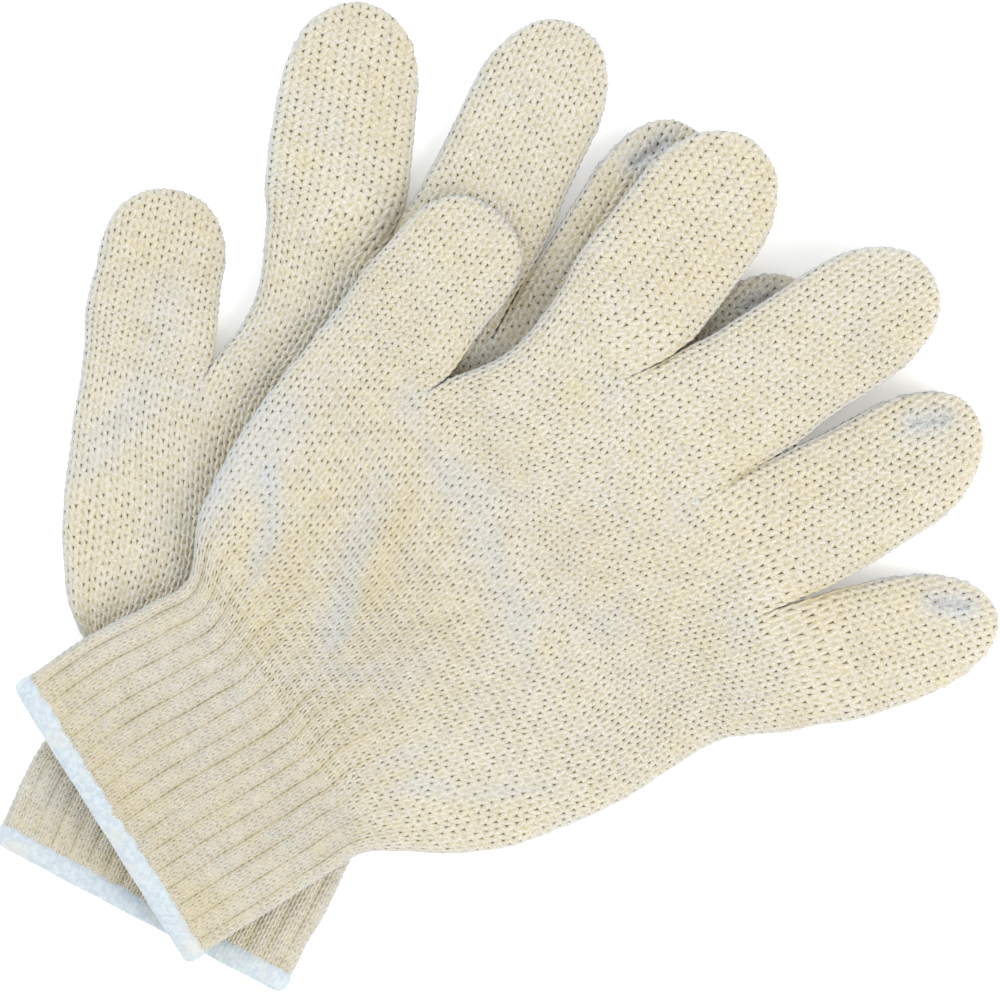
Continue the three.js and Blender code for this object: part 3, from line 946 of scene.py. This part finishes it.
def cotton(name, ribbed):
    """Knitted cotton: uneven cream yarn, painted shade in the holes between the stitches, painted light from
    the knit attribute, and a fibrous surface.
    """
    show = RIB_YARN if ribbed else PLAIN_YARN
    n = Nodes(name)
    rest = n.attribute("rest")
    wale, course, painted_light_and_tone = n.add("ShaderNodeSeparateXYZ", {0: n.attribute("knit")}).outputs
    across = n.apart(n.math("MULTIPLY", n.math("FRACT", wale), 2.0), 1.0)
    phase = n.math("FRACT", n.math("SUBTRACT", course, n.math("MULTIPLY", across, LEG_LAG)))
    leg_middle = n.math("ADD", n.math("MULTIPLY", phase, LEG_SLANT), LEG_START)
    away = n.apart(across, leg_middle)
    deep = n.span(n.noise(rest, *THICK_AND_THIN), 0.42, 0.58, 0.05, 1.0)
    gap = n.math("MULTIPLY", n.span(away, 0.53, 0.64), deep)
    tint = n.noise(rest, *PATCHES)
    fleck = n.noise(rest, *FLECKS)
    strand = n.noise(rest, *STRANDS)
    base = n.blend(n.span(n.noise(rest, *BROAD_PATCHES), 0.40, 0.62), CREAM, PALE)
    for towards, pattern, low, high, share in (
        (YELLOW, tint, 0.50, 0.75, 0.30),
        (BLUISH, tint, 0.48, 0.28, 0.40),
        (YELLOW, fleck, 0.50, 0.64, show["flecks"]),
        (PINKISH, fleck, 0.46, 0.30, 0.30),
        (DARK_FIBRE, strand, 0.52, 0.68, show["strands"]),
        (WHITE_FIBRE, strand, 0.46, 0.32, show["strands"]),
        # painted shade on the edges of each leg, towards the holes
        (LEG_EDGE_SHADE, away, 0.26, 0.50, show["legs"]),
    ):
        base = n.turn(base, towards, n.span(pattern, low, high), share)
    # Painted light from the knit attribute: cool blue above 0, warm yellow below 0, which also holds the
    # yarn's own yellowing by the hem.
    base = n.turn(base, COOL_PAINTED_LIGHT, painted_light_and_tone, 0.5, clamp=True)
    base = n.turn(base, WARM_PAINTED_LIGHT_AND_YELLOWING, painted_light_and_tone, -0.5, clamp=True)
    if ribbed:
        # The grooves between ribs get a painted shade, stronger in patches.
        place = n.math("FRACT", n.math("DIVIDE", wale, float(RIB_WALES)))
        groove = n.span(n.apart(place, 0.5), 0.4, 0.5)
        spots = n.span(n.noise(rest, *GROOVE_SHADE_SPOTS), 0.42, 0.62)
        base = n.turn(base, GROOVE_SHADE, groove, n.math("MULTIPLY", spots, 0.45))
    # Painted shade in the holes between stitches.
    base = n.turn(base, PIT_SHADE, gap, show["gap_shade"])
    rough = n.span(fleck, 0.3, 0.7, 0.82, 0.95)
    # Yarn: two plies wound round each leg of a stitch, then fibres.
    twist = n.math("ADD", n.math("MULTIPLY", phase, 2.0), across)
    ply = n.math("SINE", n.math("MULTIPLY", twist, PLY_TURNS))
    height = n.math("MULTIPLY", n.span(away, 0.5, 0.0), 0.5)
    height = n.math("ADD", height, n.math("MULTIPLY", ply, 0.12))
    height = n.math("SUBTRACT", height, n.math("MULTIPLY", gap, 0.9))
    fibre = n.math("ADD", n.noise(rest, *FIBRES), strand)
    normal = n.bump(fibre, 0.5, 0.0003, n.bump(height, 0.8, 0.0005))
    return n.cover(base, rough, normal, Sheen_Weight=0.42, Sheen_Tint=SHEEN_TINT)


def thread(name, light, strand_shade, twist_scale):
    """Loose thread: pale, fuzzy, with painted shade between its strands."""
    n = Nodes(name)
    place = n.add("ShaderNodeTexCoord").outputs["Object"]
    strands = n.noise(place, twist_scale, 3.0, 0.6, 0.6)
    base = n.blend(n.span(strands, 0.38, 0.62), strand_shade, light)
    base = n.turn(base, CREAM, n.span(n.noise(place, 120.0, 2.0), 0.5, 0.75), 0.4)
    fibre = n.noise(place, 3000.0, 3.0, 0.6)
    normal = n.bump(fibre, 0.4, 0.0002, n.bump(strands, 0.3, 0.0003))
    return n.cover(base, n.span(strands, 0.3, 0.7, 0.8, 0.95), normal, Sheen_Weight=0.4)


MATERIALS = {
    "knit": cotton("knitted_cotton", False),
    "rib": cotton("ribbed_cotton", True),
    # The second colour of each thread is its painted shade between the strands.
    "overlock": thread("overlock_thread", colour(196, 204, 208), colour(182, 191, 198), 700.0),
    "elastic": thread("elastic_core", colour(240, 238, 230), colour(206, 202, 190), 1500.0),
    "yarn": thread("joining_yarn", colour(207, 206, 199), colour(188, 187, 178), 900.0),
}


def finish_piece(piece, slot, node):
    piece.data.materials.append(MATERIALS[slot])
    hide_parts(node)


# ---- Gloves ----

def root_blend(root_row, split_row):
    """Start and end of the bend at a finger's root, as points of the glove's frame. It lies between the
    rows that the lower tube starts and ends on, at the mean of their turns, so that neither row opens."""
    turn = 0
    for row in (root_row, split_row):
        across = row[len(row) // 2] - row[0]
        turn += math.atan2(across[1], across[0]) / 2
    forward = directions(turn)[1]
    start = (root_row[:, :2] @ forward).max() + BLEND_MARGIN
    end = min(start + ROOT_BLEND, (split_row[:, :2] @ forward).min() - BLEND_MARGIN)
    middle = root_row[:, :2].mean(0)
    middle -= forward * (middle @ forward)
    return middle + forward * start, middle + forward * end


def knit_palm():
    """The two parts of a palm, joined."""
    palm = Knit(body_grid(), PALM_WALES, 0)
    columns = ring_part(PALM_WALES, THUMB_WALES, PALM_WALES)
    knuckle = Knit(knuckle_grid(palm.base[-1][columns]), KNUCKLE_WALES, THUMB_COURSE)
    palm.join(knuckle, columns)
    return palm, knuckle


def knit_tubes(palm, knuckle):
    """A finger tube on each root of the palm, and the row at which each splits in two."""
    tubes = {}
    splits = {}
    first = 0
    for name, finger in FINGERS.items():
        if name == "thumb":
            parent, course = palm, THUMB_COURSE
            columns = ring_part(PALM_WALES, 0, THUMB_WALES)
        else:
            parent, course = knuckle, THUMB_COURSE + KNUCKLE_COURSES
            columns = ring_part(KNUCKLE_WALES, first, first + finger["wales"])
            first += finger["wales"]
        points, splits[name] = finger_grid(name, parent.base[-1][columns])
        tubes[name] = Knit(points, finger["wales"], course)
        parent.join(tubes[name], columns)
    return tubes, splits


def join_folds(places):
    """The stretched stitches beside each join, as folds with a painted cool-blue highlight."""
    paths = [[(x - 5, y - 3), (x, y - 4), (x + 5, y - 3)] for x, y, _ in places.values()]
    return [(path, JOIN_WIDTH, JOIN_RISE, JOIN_PAINTED_LIGHT) for path in paths]


def make_glove(prefix, placement, folds, bending, seed):
    """Every piece of one glove. bending names the fingers whose tubes are made as two pieces, split near
    their middle.
    """
    palm = f"{prefix}_palm"
    palm_knit, knuckle = knit_palm()
    tubes, splits = knit_tubes(palm_knit, knuckle)
    places = join_places(knuckle.base[-1], palm_knit.base[-1])
    folds = folds + join_folds(places)
    palm_knit.add_relief(folds, seed, ribbed=True)
    knuckle.add_relief(folds, seed)
    for name, tube in tubes.items():
        finger = FINGERS[name]
        pucker = finger_pucker(finger) if finger["pucker"] else None
        tube.add_relief(folds, seed, pucker=pucker, open_sides=finger["open_sides"])
    for knit in (palm_knit, knuckle, *tubes.values()):
        knit.shade = knit.normals("outer")

    def body(part):
        name = f"{prefix}_{part}"
        return name if name in frame["bodies"] else palm

    def make(name, node, knit, first=0, last=-1, slot="knit"):
        last %= len(knit.base)
        piece = knit_piece(f"{prefix}_{name}", knit, first, last, placement)
        finish_piece(piece, slot, f"{prefix}_{node}")
        return piece

    wrist_row = CUFF_COURSES * ROW_STEPS
    cuff = make("ribbed_cuff", "cuff", palm_knit, last=wrist_row, slot="rib")
    if body("cuff") == palm:
        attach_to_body(cuff, palm)
    else:
        start, end = WRIST_BLEND
        placement.point(0, start)
        placement.point(0, end)
        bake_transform(cuff)
    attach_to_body(make("palm_to_thumb", "five_finger_palm", palm_knit, first=wrist_row), palm)
    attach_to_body(make("palm_to_fingers", "four_finger_palm", knuckle), palm)
    for name, knit in tubes.items():
        finger = FINGERS[name]
        root_body = body(name + "_base")
        tip_body = body(name + "_tip")
        if name in bending:
            base = make(name + "_lower_tube", name + "_base", knit, last=splits[name])
            if root_body == palm:
                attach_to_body(base, palm)
            else:
                start, end = root_blend(knit.base[0], knit.base[splits[name]])
                placement.point(*start)
                placement.point(*end)
                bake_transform(base)
            centre, turn = finger_axis(finger, finger["length"] * BEND_AT)
            forward = directions(turn)[1] * MIDDLE_BLEND
            start = placement.point(*(centre + forward * MIDDLE_BLEND_START))
            end = placement.point(*(centre + forward))
            tip = make(name + "_tip_tube", name + "_tip", knit, first=splits[name])
            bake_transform(tip)
        else:
            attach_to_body(make(name + "_whole_tube", name + "_finger", knit), palm)
        make_closure(f"{prefix}_{name}", knit, finger, tip_body, placement)
    make_hem(prefix, placement, body("cuff"))
    make_elastics(prefix, placement, body("cuff"))
    make_joins(prefix, placement, places, palm)


# Strands of a closure, as (along the tip, across it, out of it).
CLOSURE_RADIUS = 0.6
CLOSURE_STRANDS = [
    [(-3.4, 0.1, -0.2), (-1.2, -0.3, 0.35), (1.2, 0.2, 0.3), (3.3, -0.1, -0.2)],
    [(-2.2, -0.9, -0.1), (-0.8, 0.2, 0.5), (0.6, 0.9, 0.0)],
    [(0.2, -0.8, 0.0), (1.4, 0.2, 0.45), (2.6, 0.7, -0.1)],
]


def make_closure(name, knit, finger, body, placement):
    """Yarn drawn through the last stitches of a tip."""
    across, forward = directions(math.radians(finger["lean"]))
    axes = np.array([(*forward, 0), (*across, 0), (0, 0, -1)])
    strands = [knit.base[-1].mean(0) + np.array(strand) @ axes for strand in CLOSURE_STRANDS]
    piece = yarn_mesh(name + "_closure_yarn", strands, CLOSURE_RADIUS, placement)
    finish_piece(piece, "yarn", name + "_tip_closure")
    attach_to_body(piece, body)


def cuff_loop(y, inset):
    """A row round the cuff with its outward normals, drawn in by inset."""
    points = ring_row(*outline_points(BODY_OUTLINE, y, y), PALM_WALES)
    normal = normalized(np.cross(np.roll(points, -1, 0) - np.roll(points, 1, 0), (0, 1, 0)))
    return points - normal * inset, normal


HEM_Y = 0.5
HEM_INSET = 0.9
HEM_HALF_ALONG = 3.0
HEM_HALF_OUT = 1.75
HEM_SIDES = 18
HEM_WRAP = 1.3  # millimetres from one wrap of its thread to the next
HEM_RELIEF = 0.05  # share of its thickness
HEM_UNEVEN = 0.03
HEM_UNEVEN_SIZE = 5
HEM_SEED = 91


def make_hem(prefix, placement, body):
    """Overlocked cuff mouth: thread wrapped slantwise round a rolled edge."""
    def relief(turn, place):
        wraps = np.abs(np.sin(math.pi * (place / HEM_WRAP + turn / (2 * math.pi))))
        return HEM_RELIEF * wraps + HEM_UNEVEN * lattice(place, turn * 3, HEM_UNEVEN_SIZE, HEM_SEED)

    loop, normal = cuff_loop(HEM_Y, HEM_INSET)
    piece = torus_mesh(f"{prefix}_hem_ring", loop, normal, HEM_HALF_ALONG, HEM_HALF_OUT, HEM_SIDES, placement,
                       ring_wales(PALM_WALES), relief)
    finish_piece(piece, "overlock", f"{prefix}_overlock_hem")
    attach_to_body(piece, body)


ELASTIC_PLACES = (9.6, 19.6, 29.6)
ELASTIC_INSET = 2.2
ELASTIC_HALF_ALONG = 0.55
ELASTIC_HALF_OUT = 0.28
ELASTIC_SIDES = 6


def make_elastics(prefix, placement, body):
    """Rubber threads laid into the cuff."""
    wale = ring_wales(PALM_WALES)[::2]
    for i, y in enumerate(ELASTIC_PLACES, 1):
        loop, normal = cuff_loop(y, ELASTIC_INSET)
        piece = torus_mesh(f"{prefix}_elastic_{i}", loop[::2], normal[::2], ELASTIC_HALF_ALONG,
                           ELASTIC_HALF_OUT, ELASTIC_SIDES, placement, wale)
        finish_piece(piece, "elastic", f"{prefix}_elastic_thread_{i}")
        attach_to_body(piece, body)


def join_places(finger_row, thumb_row):
    """Where two tubes part, on the front, by the name of the yarn that joins them."""
    places = {"thumb_join": thumb_row[THUMB_WALES * FRONT_STEPS]}
    wale = 0
    fingers = ("index", "middle", "ring", "little")
    for name, neighbour in zip(fingers, fingers[1:]):
        wale += FINGERS[name]["wales"]
        places[f"{name}_{neighbour}_join"] = finger_row[wale * FRONT_STEPS]
    return places


JOIN_RADIUS = 0.5
JOIN_STRANDS = [
    [(-1.5, -1.6, -0.9), (-0.3, -0.4, 0.25), (0.9, 1.2, -0.3), (1.1, 2.6, -1.6)],
    [(1.6, -1.2, -0.9), (0.3, 0.3, 0.3), (-1.0, 1.4, -0.4), (-0.9, 2.6, -1.6)],
    [(-1.8, 0.4, -0.8), (0, 1.0, 0.1), (1.8, 0.3, -0.8)],
]


def make_joins(prefix, placement, places, body):
    """Yarn lumps where two tubes are joined at a crotch."""
    for node, place in places.items():
        strands = [np.array(strand) + place for strand in JOIN_STRANDS]
        piece = yarn_mesh(f"{prefix}_{node}_yarn", strands, JOIN_RADIUS, placement)
        finish_piece(piece, "yarn", f"{prefix}_{node}")
        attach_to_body(piece, body)


make_glove("lower", LOWER, LOWER_FOLDS, ("thumb", "index", "middle"), 11)
make_glove("upper", UPPER, UPPER_FOLDS, tuple(FINGERS), 57)


# ---- Floor, lights and camera ----

FLOOR_SIZE = 3.0  # half its side, in metres


def make_floor():
    mesh = bpy.data.meshes.new("floor")
    corners = [(x * FLOOR_SIZE, y * FLOOR_SIZE, 0) for x, y in ((-1, -1), (1, -1), (1, 1), (-1, 1))]
    mesh.from_pydata(corners, [], [(0, 1, 2, 3)])
    floor = link(bpy.data.objects.new("floor", mesh))
    n = Nodes("floor_paper")
    # Faintly lit from below, as on a light table, so that the shadows stay pale.
    n.plain(Base_Color=(0.93, 0.93, 0.93, 1), Roughness=0.9, Specular_IOR_Level=0.1)
    n.plain(Emission_Color=(1, 1, 1, 1), Emission_Strength=0.22)
    mesh.materials.append(n.material)


VIEW_UP = Vector((-0.466, 0.885, 0))
VIEW_RIGHT = Vector((0.885, 0.466, 0))
VIEW_TARGET = Vector((LOWER.origin[0] + 32.1, LOWER.origin[1] + 133.05, 10.0)) * MM
VIEW_DISTANCE = 2.0
VIEW_WIDTH = 0.2505
SENSOR = 36.0


def make_camera():
    data = bpy.data.cameras.new("camera")
    data.sensor_width = SENSOR
    data.lens = SENSOR * VIEW_DISTANCE / VIEW_WIDTH
    data.clip_end = 20
    camera = link(bpy.data.objects.new("camera", data))
    turn = Matrix((VIEW_RIGHT, VIEW_UP, Vector((0, 0, 1)))).transposed()
    camera.matrix_world = Matrix.Translation(VIEW_TARGET + Vector((0, 0, VIEW_DISTANCE))) @ turn.to_4x4()
    bpy.context.scene.camera = camera


def area_light(name, offset, size, power, tint):
    """A square soft light at right, up and height offsets from the middle, aimed at it."""
    data = bpy.data.lights.new(name, "AREA")
    data.shape = "SQUARE"
    data.size = size
    data.energy = power
    data.color = tint
    light = link(bpy.data.objects.new(name, data))
    right, up, height = offset
    place = VIEW_TARGET + VIEW_RIGHT * right + VIEW_UP * up + Vector((0, 0, height))
    light.location = place
    light.rotation_mode = "QUATERNION"
    light.rotation_quaternion = (VIEW_TARGET - place).to_track_quat("-Z", "Y")


def make_light():
    world = bpy.data.worlds.new("studio")
    world.use_nodes = True
    background = world.node_tree.nodes["Background"]
    background.inputs["Color"].default_value = (0.95, 0.98, 1.0, 1)
    background.inputs["Strength"].default_value = 1.07
    bpy.context.scene.world = world
    area_light("key", (0.85, -0.45, 1.05), 0.85, 10.3, (1.0, 0.965, 0.89))
    area_light("fill", (-1.0, 0.55, 0.6), 0.9, 5.5, (0.84, 0.92, 1.0))


make_floor()
make_camera()
make_light()
bpy.context.scene.view_settings.view_transform = "Standard"
bpy.context.scene.view_settings.look = "None"
